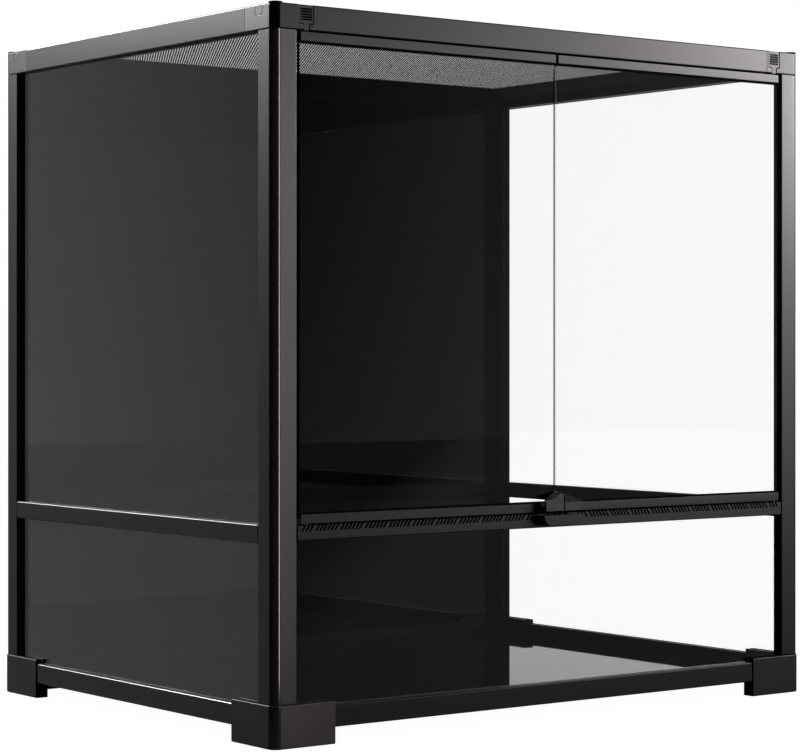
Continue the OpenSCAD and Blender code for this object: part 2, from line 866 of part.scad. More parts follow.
module slider(side_x)
    color(trim_colour)
        place()
            at_corner(side_x, -1) {
                difference() {
                    translate([0, slider_depth, 0])
                        rotate([90, 0, 0])
                            linear_extrude(slider_depth - slider_gap)
                                slider_front();
                    for (index = [0:slider_grooves - 1]) {
                        middle = top_low + slider_neck_height + slider_height / 2;
                        level = middle + (index - (slider_grooves - 1) / 2) * slider_groove_pitch;
                        reach = slider_width / 2 - slider_groove_margin;
                        block(
                            [hinge_x - reach, -1, level - slider_groove_height / 2],
                            [
                                hinge_x + reach, slider_gap + slider_groove_depth,
                                level + slider_groove_height / 2
                            ]
                        );
                    }
                }
                slider_key();
                translate([hinge_x, hinge_depth, door_high - hinge_pin_reach])
                    cylinder(r = hinge_pin_r, h = hinge_pin_reach + door_high_gap + slider_neck_height);
            }

// Sheet of door glass; grow makes it the cutter for its gasket
module door_sheet(low, high, grow = 0)
    block(
        [door_start - grow, door_glass_front - grow, low],
        [door_start + door_glass_length + grow, door_glass_front + glass_thickness + grow, high]
    );

// A door is drawn at the left post; the right one is its mirror image
module door_glass(side_x)
    color(clear_glass_colour)
        place()
            at_corner(side_x, -1)
                door_sheet(door_glass_low, door_glass_high);

module door_rail_block(low)
    block(
        [door_start, 0, low],
        [door_start + door_rail_length, door_rail_wall, low + door_rail_height]
    );

module hinge_bore(low)
    translate([hinge_x, hinge_depth, low])
        cylinder(r = hinge_pin_r + hinge_pin_gap, h = hinge_bore_depth + eps);

module door_bottom_rail(side_x)
    color(frame_colour)
        place()
            at_corner(side_x, -1)
                difference() {
                    door_rail_block(door_low);
                    translate([-1, 0, 0]) door_sheet(gasket_low, door_high, gasket_wall);
                    translate([1, 0, 0]) door_sheet(gasket_low, door_high, gasket_wall);
                    hinge_bore(door_low - eps);
                }

module door_top_rail(side_x)
    color(frame_colour)
        place()
            at_corner(side_x, -1)
                difference() {
                    door_rail_block(door_high - door_rail_height);
                    translate([-1, 0, 0]) door_sheet(door_low, gasket_high, gasket_wall);
                    translate([1, 0, 0]) door_sheet(door_low, gasket_high, gasket_wall);
                    hinge_bore(door_high - hinge_bore_depth);
                }

// U-shaped gasket strip between low and high, round one edge of the glass
module gasket_strip(low, high)
    difference() {
        block(
            [door_start, door_glass_front - gasket_wall, low],
            [
                door_start + door_rail_length,
                door_glass_front + glass_thickness + gasket_wall, high
            ]
        );
        translate([-1, 0, 0]) door_sheet(door_glass_low, door_glass_high);
        translate([1, 0, 0]) door_sheet(door_glass_low, door_glass_high);
    }

module door_gaskets(side_x)
    color(trim_colour)
        place()
            at_corner(side_x, -1) {
                gasket_strip(gasket_low, door_low + door_rail_height + gasket_proud);
                gasket_strip(door_high - door_rail_height - gasket_proud, gasket_high);
            }

// Height of a bell-shaped edge between its end and its peak, at a share of the half width
function bell(end, peak, share) = end + (peak - end) * (1 + cos(180 * share)) / 2;

// Half outline of a handle from the split to its outer end, bell-shaped on top
module bell_outline(end, peak, reach, low = 0, steps = 14)
    polygon(concat(
        [[-handle_split / 2, low], [-handle_split / 2, peak]],
        [for (step = [1:steps]) [
            -handle_split / 2 - (reach - handle_split / 2) * step / steps,
            bell(end, peak, step / steps)
        ]],
        [[-reach, low]]
    ));

// Handle of the left door: a front plate, a finger groove and a lip over the rail
module handle_body() {
    groove_front = -handle_proud + handle_plate;
    groove_r = (handle_proud - handle_plate - handle_lip_wall) / 2;
    over_end = (door_rail_height + handle_end_height) / 2;
    difference() {
        rotate([90, 0, 0])
            linear_extrude(handle_proud)
                bell_outline(handle_end_height, handle_peak_height, latch_half);
        // The lip behind the groove has its own, rounder outline
        block([-latch_half - 1, -handle_lip_wall, over_end], [1, 1, handle_peak_height + 1]);
        // Finger groove along the handle
        block(
            [-latch_half - 1, groove_front, handle_groove_floor + groove_r],
            [1, -handle_lip_wall, handle_peak_height + 1]
        );
        translate([-latch_half - 1, handle_middle, handle_groove_floor + groove_r])
            rotate([0, 90, 0])
                cylinder(r = groove_r, h = latch_half + 2);
        // Chamfer along the lower front edge
        translate([-latch_half - 1, -handle_proud, 0])
            rotate([90, 0, 90])
                linear_extrude(latch_half + 2)
                    polygon([[-1, -1], [handle_chamfer + 1, -1], [-1, handle_chamfer + 1]]);
    }
    rotate([90, 0, 0])
        linear_extrude(handle_lip_wall)
            bell_outline(door_rail_height, handle_lip_height, latch_half);
    translate([0, handle_lip_over, 0])
        rotate([90, 0, 0])
            linear_extrude(handle_lip_over + eps)
                bell_outline(door_rail_height + eps, handle_lip_height, latch_half, door_rail_height);
}

module door_handle(side_x)
    color(trim_colour)
        place()
            mirror([side_x > 0 ? 1 : 0, 0, 0])
                on_side("front")
                    translate([0, 0, door_low])
                        handle_body();

// Mitred bar of the lid with a rebate for the mesh
module lid_bar_piece(side) {
    half = side_run(side) / 2 - lid_inset;
    low = ledge_high + lid_rest_gap;
    color(frame_colour)
        place()
            on_side(side)
                difference() {
                    translate([0, lid_inset, low])
                        linear_extrude(cabinet_height - low)
                            polygon([[-half, 0], [half, 0], [half - lid_bar, lid_bar], [-half + lid_bar, lid_bar]]);
                    block(
                        [-half, lid_inset + lid_bar - mesh_seat, mesh_low],
                        [half, lid_inset + lid_bar + 1, cabinet_height + 1]
                    );
                }
}

module lid_sheet_outline(inset)
    square([cabinet_width - 2 * inset, cabinet_depth - 2 * inset], center = true);

// Net of hexagonal openings in staggered rows
module lid_mesh()
    color(mesh_colour)
        place()
            translate([0, 0, mesh_low])
                linear_extrude(mesh_thickness)
                    difference() {
                        lid_sheet_outline(mesh_edge);
                        for (row = [0:mesh_rows - 1], column = [0:mesh_columns - 1 - row % 2])
                            translate([
                                (column - (mesh_columns - 1 - row % 2) / 2) * mesh_pitch,
                                (row - (mesh_rows - 1) / 2) * mesh_row
                            ])
                                rotate(30)
                                    circle(r = mesh_gap_r, $fn = 6);
                    }

module lid_bead()
    color(trim_colour)
        place()
            translate([0, 0, mesh_low + mesh_thickness])
                linear_extrude(bead_thickness)
                    difference() {
                        lid_sheet_outline(mesh_edge);
                        lid_sheet_outline(mesh_edge + bead_width);
                    }

foot(-1, -1);  // foot_front_left
foot(1, -1);  // foot_front_right
foot(-1, 1);  // foot_rear_left
foot(1, 1);  // foot_rear_right
bottom_bar("front");  // bottom_bar_front
bottom_bar("rear");  // bottom_bar_rear
bottom_bar("left");  // bottom_bar_left
bottom_bar("right");  // bottom_bar_right
post(-1, -1);  // post_front_left
post(1, -1);  // post_front_right
post(-1, 1);  // post_rear_left
post(1, 1);  // post_rear_right
glazing_beads();
top_corner(-1, -1);  // top_corner_front_left
top_corner(1, -1);  // top_corner_front_right
top_corner(-1, 1);  // top_corner_rear_left
top_corner(1, 1);  // top_corner_rear_right
top_bar("front");  // top_bar_front
top_bar("rear");  // top_bar_rear
top_bar("left");  // top_bar_left
top_bar("right");  // top_bar_right
corner_caps();
corner_snap_plugs();
door_stop();
mid_rail("left");  // mid_rail_left
mid_rail("right");  // mid_rail_right
mid_rail("rear");  // mid_rail_rear
vent_rail();
floor_panel();
glass_front_lower();
glass_lower("left");  // glass_left_lower
glass_upper("left");  // glass_left_upper
glass_lower("right");  // glass_right_lower
glass_upper("right");  // glass_right_upper
panel_rear_lower();
panel_rear_upper();
jamb_strip(-1);  // jamb_strip_left
jamb_strip(1);  // jamb_strip_right
hinge_pin(-1);  // hinge_pin_left
hinge_pin(1);  // hinge_pin_right
latch_keeper();
latch_clip();
slider(-1);  // slider_left
slider(1);  // slider_right
door_glass(-1);  // door_left_glass
door_top_rail(-1);  // door_left_top_rail
door_bottom_rail(-1);  // door_left_bottom_rail
door_gaskets(-1);  // door_left_gaskets
door_handle(-1);  // door_left_handle
door_glass(1);  // door_right_glass
door_top_rail(1);  // door_right_top_rail
door_bottom_rail(1);  // door_right_bottom_rail
door_gaskets(1);  // door_right_gaskets
door_handle(1);  // door_right_handle
lid_bar_piece("front");  // lid_bar_front
lid_bar_piece("rear");  // lid_bar_rear
lid_bar_piece("left");  // lid_bar_left
lid_bar_piece("right");  // lid_bar_right
lid_mesh();
lid_bead();
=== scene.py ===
"""Looks of the terrarium cabinet: finishes, softened edges, fine lid mesh, light and camera.

Metres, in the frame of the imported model: X to the right, Y to the back, Z up.
"""

import json
import math

import bpy
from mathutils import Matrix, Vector


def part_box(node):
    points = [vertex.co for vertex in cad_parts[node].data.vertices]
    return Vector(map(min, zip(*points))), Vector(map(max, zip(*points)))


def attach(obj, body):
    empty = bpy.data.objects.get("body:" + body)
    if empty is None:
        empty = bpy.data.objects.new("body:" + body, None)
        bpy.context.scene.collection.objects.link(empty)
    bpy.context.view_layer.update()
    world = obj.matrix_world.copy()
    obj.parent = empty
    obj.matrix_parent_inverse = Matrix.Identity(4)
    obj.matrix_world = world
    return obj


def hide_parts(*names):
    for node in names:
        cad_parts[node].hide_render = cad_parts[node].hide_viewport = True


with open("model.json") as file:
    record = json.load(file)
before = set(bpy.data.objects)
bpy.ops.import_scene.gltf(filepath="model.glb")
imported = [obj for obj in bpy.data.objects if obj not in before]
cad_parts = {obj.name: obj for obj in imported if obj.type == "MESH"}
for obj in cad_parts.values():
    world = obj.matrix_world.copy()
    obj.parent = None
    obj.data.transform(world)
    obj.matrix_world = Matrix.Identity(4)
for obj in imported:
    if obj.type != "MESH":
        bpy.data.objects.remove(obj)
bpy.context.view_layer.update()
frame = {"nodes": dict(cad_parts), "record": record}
cad = frame["nodes"]

MM = 0.001

# Camera: level, aimed past the front left corner, as the photograph was taken
IMAGE_WIDTH = 800
FOCAL_PIXELS = 2551
HORIZON_PIXELS_UP = 24.53
CAMERA_PLACE = (-1.48347, -1.96288, 0.32773)
CAMERA_HEADING = math.radians(36.973)
SENSOR_WIDTH = 36

# Lid sheet: spacing of its holes, the webs between them, and where their middle lies in Y
HOLE_PITCH = 2.72 * MM
WIDE_WEB = 1.62 * MM
THIN_WEB = 0.24 * MM
WEB_THICKNESS = 0.08 * MM
LID_MIDDLE = 4.5 * MM
# Rows of webs lie this far apart in height, reach this far past the sheet, and are cut
# this far inside its edge, where a plain margin of this width holds them
WEB_STEP = 0.03 * MM
WEB_REACH = 10 * MM
WEB_HOLD = 3 * MM
MARGIN = 5.2 * MM

# White of the backdrop behind two panes, each of which takes a little of it
SEEN_WHITE = 1.06

WHITE = (1, 1, 1, 1)

# Directions in plan, each within 14 degrees of its name: away from the camera, and to the
# left of the photograph, where the rays go that the cabinet's left side mirrors
AWAY = (0.766, 0.643, 0)
LEFTWARDS = (-0.643, 0.766, 0)

# Upright outer corners of the frame: their radius, and the roughness of the polished ones
CORNER_ROUND = 7 * MM
POLISHED = 0.12

# Black plastics and the lid's powder coat: tint, least and most roughness, grain
NYLON = ("#0d0a0b", 0.3, 0.36, 0.5 * MM)
ABS = ("#0b090a", 0.26, 0.32, 2 * MM)
GLOSSY_ABS = ("#0b090a", 0.22, 0.28, 2 * MM)
POWDER_COAT = ("#0c0c0c", 0.8, 0.9, 0.3 * MM)

# Zones of painted shade reach past the cabinet with this
FAR = 1

# Corners of the frame, as the nodes are named for them
CORNERS = ("front_left", "front_right", "rear_left", "rear_right")

# Lamps, in metres and watts: name, place, target, width and height, power, what it lights
LAMPS = (
    ("fill_front", (1.8, -2.35, 0.6), (0, -0.23, 0.3), (1.5, 1.0), 17, "satin"),
    ("softbox_front_right", (2.50, -1.75, 1.0), (0.3, -0.23, 0.6), (0.9, 0.6), 92, "satin"),
    ("strip_front", (-0.195, -0.610, 0.34), (-0.306, -0.226, 0.34), (0.05, 0.72), 5.3, "corner"),
    ("kicker_above", (-0.04, -0.345, 0.69), (0, -0.232, 0.2), (0.1, 0.1), 10.0, "latch"),
    ("kicker_right", (0.44, -0.42, 0.42), (0.01, -0.232, 0.2), (0.1, 0.1), 8.0, "latch"),
    ("softbox_back_left", (-1.27, 2.08, 1.55), (-0.3, -0.23, 0.6), (1.0, 0.6), 228, "satin"),
    ("rim_light_back", (-0.7, 2.2, 2.0), (-0.3, -0.23, 0.0), (1.0, 0.5), 5, "satin"),
)


# Tools -----------------------------------------------------------------------------------

def colour(code):
    """Linear RGBA of an sRGB hex code."""
    channels = [int(code[start:start + 2], 16) / 255 for start in (1, 3, 5)]
    linear = [c / 12.92 if c <= 0.04045 else ((c + 0.055) / 1.055) ** 2.4 for c in channels]
    return (*linear, 1.0)


def add_node(tree, kind, inputs=None, **settings):
    """Adds a shader node, sets it, and fills its inputs with values or with links."""
    node = tree.nodes.new("ShaderNode" + kind)
    for name, value in settings.items():
        setattr(node, name, value)
    for socket, value in (inputs or {}).items():
        if isinstance(value, bpy.types.NodeSocket):
            tree.links.new(value, node.inputs[socket])
        else:
            node.inputs[socket].default_value = value
    return node


def empty_material(name):
    """A new material with an output node and nothing else."""
    material = bpy.data.materials.new(name)
    material.use_nodes = True
    tree = material.node_tree
    tree.nodes.clear()
    return material, tree, add_node(tree, "OutputMaterial")


def set_material(piece, material):
    """Gives a piece this one material."""
    piece.data.materials.clear()
    piece.data.materials.append(material)


def cad_box_of_posts():
    """Lowest and highest corner of the four posts."""
    boxes = [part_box(f"post_{place}") for place in ("front_left", "rear_right")]
    return boxes[0][0], boxes[1][1]


# Materials -------------------------------------------------------------------------------

def inward_shade_share(tree):
    """1 on faces that look into the cabinet, where painted shade makes them black, and 0 elsewhere.
    """
    inwards = -20 * MM
    spot = add_node(tree, "TexCoord")
    level = add_node(tree, "VectorMath", {
        0: spot.outputs["Object"], 1: (1, 1, 0),
    }, operation="MULTIPLY")
    outwards = add_node(tree, "VectorMath", {
        0: level.outputs[0], 1: spot.outputs["Normal"],
    }, operation="DOT_PRODUCT")
    return add_node(tree, "Math", {
        0: outwards.outputs["Value"], 1: inwards,
    }, operation="LESS_THAN").outputs[0]


def round_share(tree):
    """1 on the rounded corners at the cabinet's left, and 0 elsewhere.

    They are polished there alone, so that the near one draws the photograph's bright line.
    """
    low, high = cad_box_of_posts()
    middle = (low + high) / 2
    half = (high - low) / 2 - Vector((CORNER_ROUND, CORNER_ROUND, 0))
    spot = add_node(tree, "TexCoord").outputs["Object"]
    moved = add_node(tree, "VectorMath", {0: spot, 1: middle}, operation="SUBTRACT")
    axes = add_node(tree, "SeparateXYZ", {0: moved.outputs[0]})
    side = add_node(tree, "Math", {0: axes.outputs["Y"]}, operation="ABSOLUTE")
    past_x = add_node(tree, "Math", {0: axes.outputs["X"], 1: -half.x}, operation="LESS_THAN")
    past_y = add_node(tree, "Math", {0: side.outputs[0], 1: half.y}, operation="GREATER_THAN")
    return add_node(tree, "Math", {
        0: past_x.outputs[0], 1: past_y.outputs[0],
    }, operation="MULTIPLY").outputs[0]


def zone_share(tree, low, high, share):
    """This share inside the box between two corners, and 0 elsewhere.

    X is taken to both sides of the middle.
    """
    axes = add_node(tree, "SeparateXYZ", {0: add_node(tree, "TexCoord").outputs["Object"]})
    side = add_node(tree, "Math", {0: axes.outputs["X"]}, operation="ABSOLUTE")
    values = (side.outputs[0], axes.outputs["Y"], axes.outputs["Z"])
    for value, least, most in zip(values, low, high):
        for operation, limit in (("GREATER_THAN", least), ("LESS_THAN", most)):
            inside = add_node(tree, "Math", {0: value, 1: limit}, operation=operation)
            both = add_node(tree, "Math", {0: share, 1: inside.outputs[0]}, operation="MULTIPLY")
            share = both.outputs[0]
    return share


def top_shade_zone():
    """Zone of the cabinet's upper faces, mostly in painted shade, dark and dull: glossy ones glare
    white from behind.
    """
    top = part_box("top_bar_rear")[1].z
    return (0, -FAR, top - 0.2 * MM), (FAR, FAR, FAR), 0.85


def black_finish(tree, output, tone, gloss, bump, zones):
    """Satin black face, polished on the left corners.

    Painted shade, a dull near-black, covers it in these zones, on the upper faces and on faces that
    look inwards.
    """
    polished = add_node(tree, "Mix", {
        "Factor": round_share(tree), "A": gloss, "B": POLISHED,
    }, data_type="FLOAT")
    shade_share = inward_shade_share(tree)
    for zone in (*zones, top_shade_zone()):
        share = zone_share(tree, *zone)
        shade_share = add_node(tree, "Math", {0: shade_share, 1: share}, operation="MAXIMUM").outputs[0]
    face = add_node(tree, "BsdfPrincipled", {
        "Base Color": tone,
        "Roughness": polished.outputs[0],
        "Specular IOR Level": 0.2,
        "Specular Tint": colour("#fff4fd"),
        "Normal": bump,
    })
    # Painted shade: a dull near-black that stands for shade on the zones and the inward faces
    painted_shade = add_node(tree, "BsdfPrincipled", {
        "Base Color": colour("#060506"),
        "Roughness": 0.8,
        "Specular IOR Level": 0.03,
    })
    mixed = add_node(tree, "MixShader", {"Fac": shade_share, 1: face.outputs[0], 2: painted_shade.outputs[0]})
    tree.links.new(mixed.outputs[0], output.inputs["Surface"])


def anodised_aluminium(axis, name="anodised_aluminium_", zones=()):
    """Black anodised extrusion, satin: die lines run along its length."""
    material, tree, output = empty_material(name + "xyz"[axis])
    place = add_node(tree, "TexCoord").outputs["Object"]
    # Die lines about 0.8 mm apart across the bar, and 100 times longer along it
    line_scale = 1.6 * MM
    cloud_scale = 60 * MM
    stretch = [1, 1, 1]
    stretch[axis] = 0.01
    along = add_node(tree, "Mapping", {"Vector": place, "Scale": stretch})
    lines = add_node(tree, "TexNoise", {
        "Vector": along.outputs[0], "Scale": 1 / line_scale, "Detail": 2.0,
    })
    clouds = add_node(tree, "TexNoise", {
        "Vector": place, "Scale": 1 / cloud_scale, "Detail": 3.0,
    })
    tone = add_node(tree, "Mix", {
        "Factor": clouds.outputs["Fac"], 6: colour("#0c090a"), 7: colour("#0f0c0d"),
    }, data_type="RGBA")
    gloss = add_node(tree, "MapRange", {
        "Value": lines.outputs["Fac"], "To Min": 0.27, "To Max": 0.33,
    })
    bump = add_node(tree, "Bump", {
        "Height": lines.outputs["Fac"], "Strength": 0.08, "Distance": 0.1 * MM,
    })
    black_finish(tree, output, tone.outputs[2], gloss.outputs[0], bump.outputs[0], zones)
    return material


def moulded_plastic(name, tint, low_gloss, high_gloss, grain, zones=()):
    """Black plastic with a fine even texture of this grain, as a spark-eroded mould leaves it.

    The powder coat of the lid's mesh is made with it too, rougher.
    """
    material, tree, output = empty_material(name)
    place = add_node(tree, "TexCoord").outputs["Object"]
    texture = add_node(tree, "TexNoise", {"Vector": place, "Scale": 1 / grain, "Detail": 2.0})
    gloss = add_node(tree, "MapRange", {
        "Value": texture.outputs["Fac"], "To Min": low_gloss, "To Max": high_gloss,
    })
    bump = add_node(tree, "Bump", {
        "Height": texture.outputs["Fac"], "Strength": 0.1, "Distance": 0.1 * MM,
    })
    black_finish(tree, output, colour(tint), gloss.outputs[0], bump.outputs[0], zones)
    return material


def rubber():
    """Extruded black sealing rubber: matt, it takes hardly any light."""
    material, tree, output = empty_material("extruded_rubber_black")
    place = add_node(tree, "TexCoord").outputs["Object"]
    skin_scale = 0.4 * MM
    skin = add_node(tree, "TexNoise", {"Vector": place, "Scale": 1 / skin_scale, "Detail": 2.0})
    gloss = add_node(tree, "MapRange", {
        "Value": skin.outputs["Fac"], "To Min": 0.7, "To Max": 0.85,
    })
    shader = add_node(tree, "BsdfPrincipled", {
        "Base Color": colour("#040404"),
        "Roughness": gloss.outputs[0],
        "Specular IOR Level": 0.015,
    })
    tree.links.new(shader.outputs[0], output.inputs["Surface"])
    return material


def clear_glass(name, edge_axis):
    """Tempered float glass: clear faces, and pale ground edges where the doors meet.

    Those edges face along this axis, within 20 mm of the cabinet's middle.
    """
    edge_reach = 20 * MM
    facing_share = 0.7
    material, tree, output = empty_material(name)
    pane = add_node(tree, "BsdfPrincipled", {
        "Base Color": colour("#ffffff"),
        "Roughness": 0.0,
        "IOR": 1.4,
        "Transmission Weight": 1.0,
    })
    passed = add_node(tree, "BsdfTransparent", {"Color": colour("#f4f7f5")})
    path = add_node(tree, "LightPath")
    mixed = add_node(tree, "MixShader", {
        "Fac": path.outputs["Is Shadow Ray"], 1: pane.outputs[0], 2: passed.outputs[0],
    })
    spot = add_node(tree, "TexCoord")
    facing = add_node(tree, "VectorMath", {
        0: spot.outputs["Normal"], 1: edge_axis,
    }, operation="DOT_PRODUCT")
    size = add_node(tree, "Math", {0: facing.outputs["Value"]}, operation="ABSOLUTE")
    turned = add_node(tree, "Math", {0: size.outputs[0], 1: facing_share}, operation="GREATER_THAN")
    across = add_node(tree, "VectorMath", {
        0: spot.outputs["Object"], 1: edge_axis,
    }, operation="DOT_PRODUCT")
    reach = add_node(tree, "Math", {0: across.outputs["Value"]}, operation="ABSOLUTE")
    middle = add_node(tree, "Math", {0: reach.outputs[0], 1: edge_reach}, operation="LESS_THAN")
    edge = add_node(tree, "Math", {
        0: turned.outputs[0], 1: middle.outputs[0],
    }, operation="MULTIPLY")
    ground = add_node(tree, "BsdfTransparent", {"Color": colour("#e6e8e7")})
    whole = add_node(tree, "MixShader", {
        "Fac": edge.outputs[0], 1: mixed.outputs[0], 2: ground.outputs[0],
    })
    tree.links.new(whole.outputs[0], output.inputs["Surface"])
    return material


def black_glass():
    """Glass painted black on its back: a polished face over black."""
    material, tree, output = empty_material("back_painted_glass_black")
    shader = add_node(tree, "BsdfPrincipled", {
        "Base Color": colour("#0b0b0c"), "Roughness": 0.03, "IOR": 1.43,
    })
    tree.links.new(shader.outputs[0], output.inputs["Surface"])
    return material


def steel(name, tint):
    """Dark steel: blackened for the hinge pins, and blued for the spring clip."""
    material, tree, output = empty_material(name)
    place = add_node(tree, "TexCoord").outputs["Object"]
    skin_scale = 0.4 * MM
    skin = add_node(tree, "TexNoise", {"Vector": place, "Scale": 1 / skin_scale, "Detail": 2.0})
    gloss = add_node(tree, "MapRange", {
        "Value": skin.outputs["Fac"], "To Min": 0.26, "To Max": 0.38,
    })
    shader = add_node(tree, "BsdfPrincipled", {
        "Base Color": colour(tint), "Metallic": 1.0, "Roughness": gloss.outputs[0],
    })
    tree.links.new(shader.outputs[0], output.inputs["Surface"])
    return material


# Shapes ----------------------------------------------------------------------------------

def select_only(*pieces):
    """Selects these pieces alone and makes the first one active."""
    bpy.ops.object.select_all(action="DESELECT")
    for piece in pieces:
        piece.select_set(True)
    bpy.context.view_layer.objects.active = pieces[0]


def apply_place(piece):
    """Puts the object's origin at the world's, with its place in its mesh."""
    select_only(piece)
    bpy.ops.object.transform_apply(location=True, rotation=True, scale=True)


def add_block(name, low, high):
    """Block between two corners."""
    low, high = Vector(low), Vector(high)
    bpy.ops.object.select_all(action="DESELECT")
    bpy.ops.mesh.primitive_cube_add(size=1, location=(low + high) / 2)
    block = bpy.context.object
    block.name = name
    block.scale = high - low
    apply_place(block)
    return block


def soften(node, width):
    """Live modifiers that round the edges of a CAD node, as a mould or a die leaves them."""
    weld = cad[node].modifiers.new("weld", "WELD")
    weld.merge_threshold = 0.002 * MM
    faces = cad[node].modifiers.new("whole_faces", "DECIMATE")
    faces.decimate_type = "DISSOLVE"
    faces.angle_limit = math.radians(0.5)
    edges = cad[node].modifiers.new("soft_edges", "BEVEL")
    edges.width = width
    edges.segments = 2
    edges.limit_method = "ANGLE"
    edges.angle_limit = math.radians(35)
    shading = cad[node].modifiers.new("even_shading", "WEIGHTED_NORMAL")
    shading.mode = "FACE_AREA"
    shading.weight = 100


# Lid -------------------------------------------------------------------------------------

def add_webs(name, width, turn, step, count, length, level):
    """Row of long thin webs at one angle, repeated over the sheet by an array."""
    corner = Vector((length, width, WEB_THICKNESS)) / 2
    block = add_block(name, -corner, corner)
    block.rotation_euler.z = turn
    start = Vector(step) * (1 - count) / 2
    block.location = (start.x, start.y + LID_MIDDLE, level)
    apply_place(block)
    repeat = block.modifiers.new("repeat", "ARRAY")
    repeat.count = count
    repeat.use_relative_offset = False
    repeat.use_constant_offset = True
    repeat.constant_offset_displace = (*step, 0)
    select_only(block)
    bpy.ops.object.modifier_apply(modifier="repeat")
    return block


def make_lid_net(low, high):
    """Net of the perforated sheet: staggered holes leave webs in three directions."""
    slant = math.radians(60)
    row = HOLE_PITCH * math.sin(slant)
    across = high.x - low.x
    along = high.y - low.y
    middle = (low.z + high.z) / 2
    columns = 2 * math.ceil((across + along / math.tan(slant)) / HOLE_PITCH / 2)
    rows = 2 * math.ceil(along / row / 2)
    slanting = along / math.sin(slant) + WEB_REACH
    to_side = (HOLE_PITCH, 0)
    webs = (
        ("lid_net", WIDE_WEB, slant, to_side, columns, slanting, middle + WEB_STEP),
        ("lid_net_mirrored", THIN_WEB, -slant, to_side, columns, slanting, middle),
        ("lid_net_straight", THIN_WEB, 0, (0, row), rows, across + WEB_REACH, middle - WEB_STEP),
    )
    nets = [add_webs(*web) for web in webs]
    select_only(*nets)
    bpy.ops.object.join()
    bpy.ops.object.mode_set(mode="EDIT")
    cuts = (
        ((low.x + WEB_HOLD, 0, 0), (-1, 0, 0)), ((high.x - WEB_HOLD, 0, 0), (1, 0, 0)),
        ((0, low.y + WEB_HOLD, 0), (0, -1, 0)), ((0, high.y - WEB_HOLD, 0), (0, 1, 0)),
    )
    for place, outwards in cuts:
        bpy.ops.mesh.select_all(action="SELECT")
        bpy.ops.mesh.bisect(plane_co=place, plane_no=outwards, use_fill=True, clear_outer=True)
    bpy.ops.mesh.select_all(action="SELECT")
    bpy.ops.mesh.normals_make_consistent(inside=False)
    bpy.ops.object.mode_set(mode="OBJECT")
    return nets[0]


def make_lid_margin(low, high):
    """Plain margin of the sheet in four strips, held between the bars and the bead."""
    left, right = low.x + MARGIN, high.x - MARGIN
    front, rear = low.y + MARGIN, high.y - MARGIN
    strips = (
        ("lid_sheet_margin", low, (high.x, front, high.z)),
        ("lid_margin_rear", (low.x, rear, low.z), high),
        ("lid_margin_left", (low.x, front, low.z), (left, rear, high.z)),
        ("lid_margin_right", (right, front, low.z), (high.x, rear, high.z)),
    )
    margin = [add_block(*strip) for strip in strips]
    select_only(*margin)
    bpy.ops.object.join()
    return margin[0]


def make_lid_mesh(coat):
    """Perforated sheet of the lid: its net and its margin stand for the coarse CAD sheet."""
    low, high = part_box("lid_mesh")
    net = make_lid_net(low, high)
    set_material(net, coat)
    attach(net, "lid")
    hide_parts("lid_mesh")
    margin = make_lid_margin(low, high)
    set_material(margin, coat)
    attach(margin, "lid")
    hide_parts("lid_mesh")


# Stage -----------------------------------------------------------------------------------

def seen_share(tree):
    """1 for a ray straight from the camera or through glass, and 0 for a bounced one."""
    path = add_node(tree, "LightPath")
    straight = add_node(tree, "Math", {
        0: path.outputs["Is Camera Ray"], 1: path.outputs["Is Transmission Ray"],
    }, operation="MAXIMUM")
    bounces = add_node(tree, "Math", {
        0: path.outputs["Glossy Depth"], 1: path.outputs["Diffuse Depth"],
    }, operation="ADD")
    direct = add_node(tree, "Math", {0: bounces.outputs[0], 1: 0.5}, operation="LESS_THAN")
    return add_node(tree, "Math", {
        0: straight.outputs[0], 1: direct.outputs[0],
    }, operation="MULTIPLY").outputs[0]


def mirrored_share(tree):
    """1 for a ray that was mirrored, and 0 for any other."""
    path = add_node(tree, "LightPath")
    return add_node(tree, "Math", {
        0: path.outputs["Glossy Depth"], 1: 0.5,
    }, operation="GREATER_THAN").outputs[0]


def wall_light(tree, direction):
    """Brightness of the studio's walls, as bounced rays meet them.

    They are bright behind the cabinet, and dark by the camera and overhead.
    """
    bright_side = (*AWAY[:2], -0.3)
    towards = add_node(tree, "VectorMath", {
        0: direction, 1: bright_side,
    }, operation="DOT_PRODUCT")
    return add_node(tree, "MapRange", {
        "Value": towards.outputs["Value"],
        "From Min": -0.14, "From Max": 0.5, "To Min": 0.02, "To Max": 0.72,
    }).outputs[0]


def floor_light(tree, place):
    """Brightness of the floor as mirrored rays meet it: about that of the wall above it.

    It is dark on the camera's side of the near corner, and brighter to the left.
    """
    low = cad_box_of_posts()[0]
    corner = (low.x, low.y, 0)
    from_corner = add_node(tree, "VectorMath", {0: place, 1: corner}, operation="SUBTRACT")
    away = add_node(tree, "VectorMath", {
        0: from_corner.outputs[0], 1: AWAY,
    }, operation="DOT_PRODUCT")
    leftwards = add_node(tree, "VectorMath", {
        0: from_corner.outputs[0], 1: LEFTWARDS,
    }, operation="DOT_PRODUCT")
    shade = add_node(tree, "MapRange", {
        "Value": away.outputs["Value"],
        "From Min": -0.15, "From Max": 0.0, "To Min": 0.15, "To Max": 1.0,
    })
    level = add_node(tree, "MapRange", {
        "Value": leftwards.outputs["Value"],
        "From Min": -0.3, "From Max": 0.3, "To Min": 0.13, "To Max": 0.32,
    })
    return add_node(tree, "Math", {
        0: shade.outputs[0], 1: level.outputs[0],
    }, operation="MULTIPLY").outputs[0]


